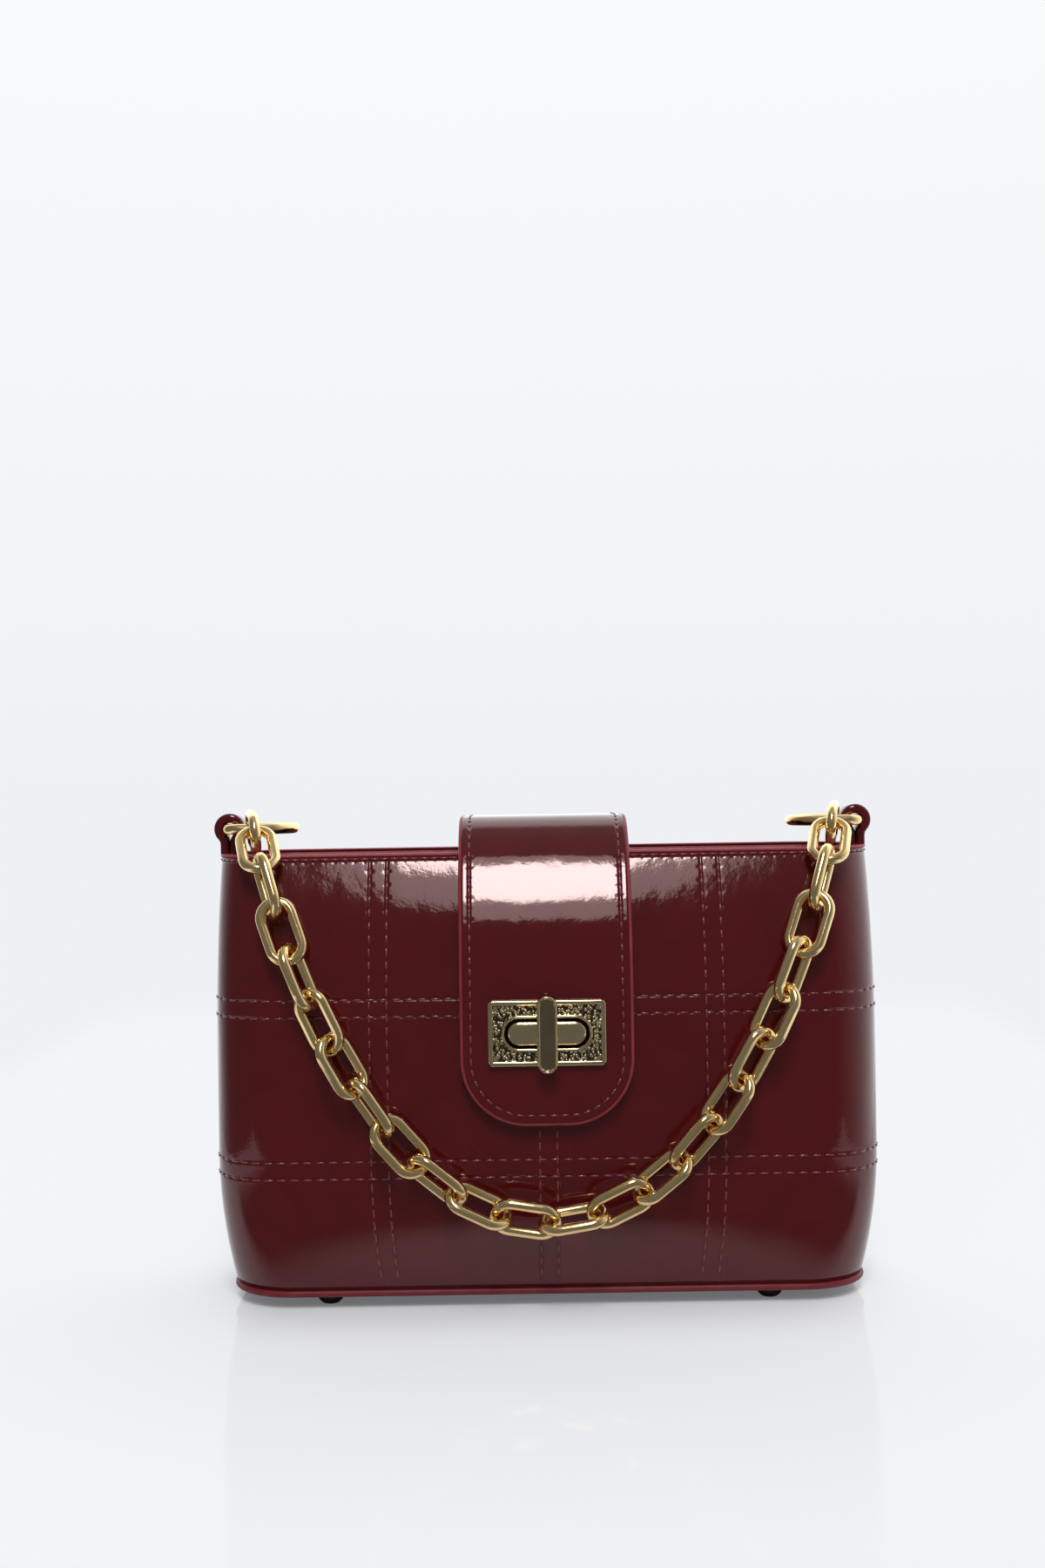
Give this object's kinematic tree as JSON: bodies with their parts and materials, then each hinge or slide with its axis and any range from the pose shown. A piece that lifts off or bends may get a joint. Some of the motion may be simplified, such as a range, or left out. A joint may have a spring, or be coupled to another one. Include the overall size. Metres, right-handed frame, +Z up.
{
  "type": "chain shoulder bag",
  "caption": "Small structured patent-leather shoulder bag with a strap flap, a turn-lock, hanger rings and a chain of oblong links.",
  "frame": {"origin": "middle of the outline on the floor, under the feet", "axes": "+X to the right of someone facing the front, +Y towards the back, +Z up"},
  "size_m": [0.2182, 0.0971, 0.1598],
  "materials": {
    "patent_leather": "glossy patent",
    "painted_edge": "satin edge paint",
    "lining_cloth": "matt",
    "stiff_board": "matt",
    "dark_metal": "dark lacquer",
    "antique_gold": "pale antique gold",
    "gold": "polished gold plate"
  },
  "bodies": {
    "bag": {"front_panel": "patent_leather", "back_panel": "patent_leather", "base_panel": "painted_edge", "base_board": "stiff_board", "mouth_edge": "painted_edge", "lining": "lining_cloth", "base_feet": "dark_metal", "foot_washers": "dark_metal", "left_hanger": "patent_leather", "right_hanger": "patent_leather", "flap_tail": "patent_leather", "lock_boss": "antique_gold"},
    "flap": {"flap": "patent_leather", "flap_lining": "lining_cloth", "lock_plate": "antique_gold", "lock_back_plate": "dark_metal", "lock_rivets": "antique_gold"},
    "knob": {"lock_knob": "antique_gold", "lock_clip": "dark_metal"},
    "left_ring": {"left_ring": "gold"},
    "right_ring": {"right_ring": "gold"},
    "chain": {"chain_link_01": "gold", "chain_link_02": "gold", "chain_link_03": "gold", "chain_link_04": "gold", "chain_link_05": "gold", "chain_link_06": "gold", "chain_link_07": "gold", "chain_link_08": "gold", "chain_link_09": "gold", "chain_link_10": "gold", "chain_link_11": "gold", "chain_link_12": "gold", "chain_link_13": "gold", "chain_link_14": "gold", "chain_link_15": "gold", "chain_link_16": "gold", "chain_link_17": "gold", "chain_link_18": "gold", "chain_link_19": "gold", "chain_link_20": "gold", "chain_link_21": "gold", "chain_link_22": "gold", "chain_link_23": "gold", "chain_link_24": "gold"}
  },
  "joints": [
    {"name": "flap_open", "type": "hinge", "parent": "bag", "child": "flap", "pos_m": [0, 0.03931, 0.14286], "axis": [-1, 0, 0], "range_deg": [0, 150]},
    {"name": "knob_turn", "type": "hinge", "parent": "bag", "child": "knob", "pos_m": [0, -0.0445, 0.0892], "axis": [0, 1, 0], "range_deg": [0, 90]},
    {"name": "left_ring_tilt", "type": "hinge", "parent": "bag", "child": "left_ring", "pos_m": [-0.104, 0.0035, 0.15315], "axis": [0, -1, 0], "range_deg": [0, 5]},
    {"name": "right_ring_tilt", "type": "hinge", "parent": "bag", "child": "right_ring", "pos_m": [0.104, 0.0035, 0.15315], "axis": [0, 1, 0], "range_deg": [0, 5]},
    {"name": "chain_swing", "type": "hinge", "parent": "bag", "child": "chain", "pos_m": [0, -0.007, 0.15315], "axis": [-1, 0, 0], "range_deg": [0, 120]}
  ]
}
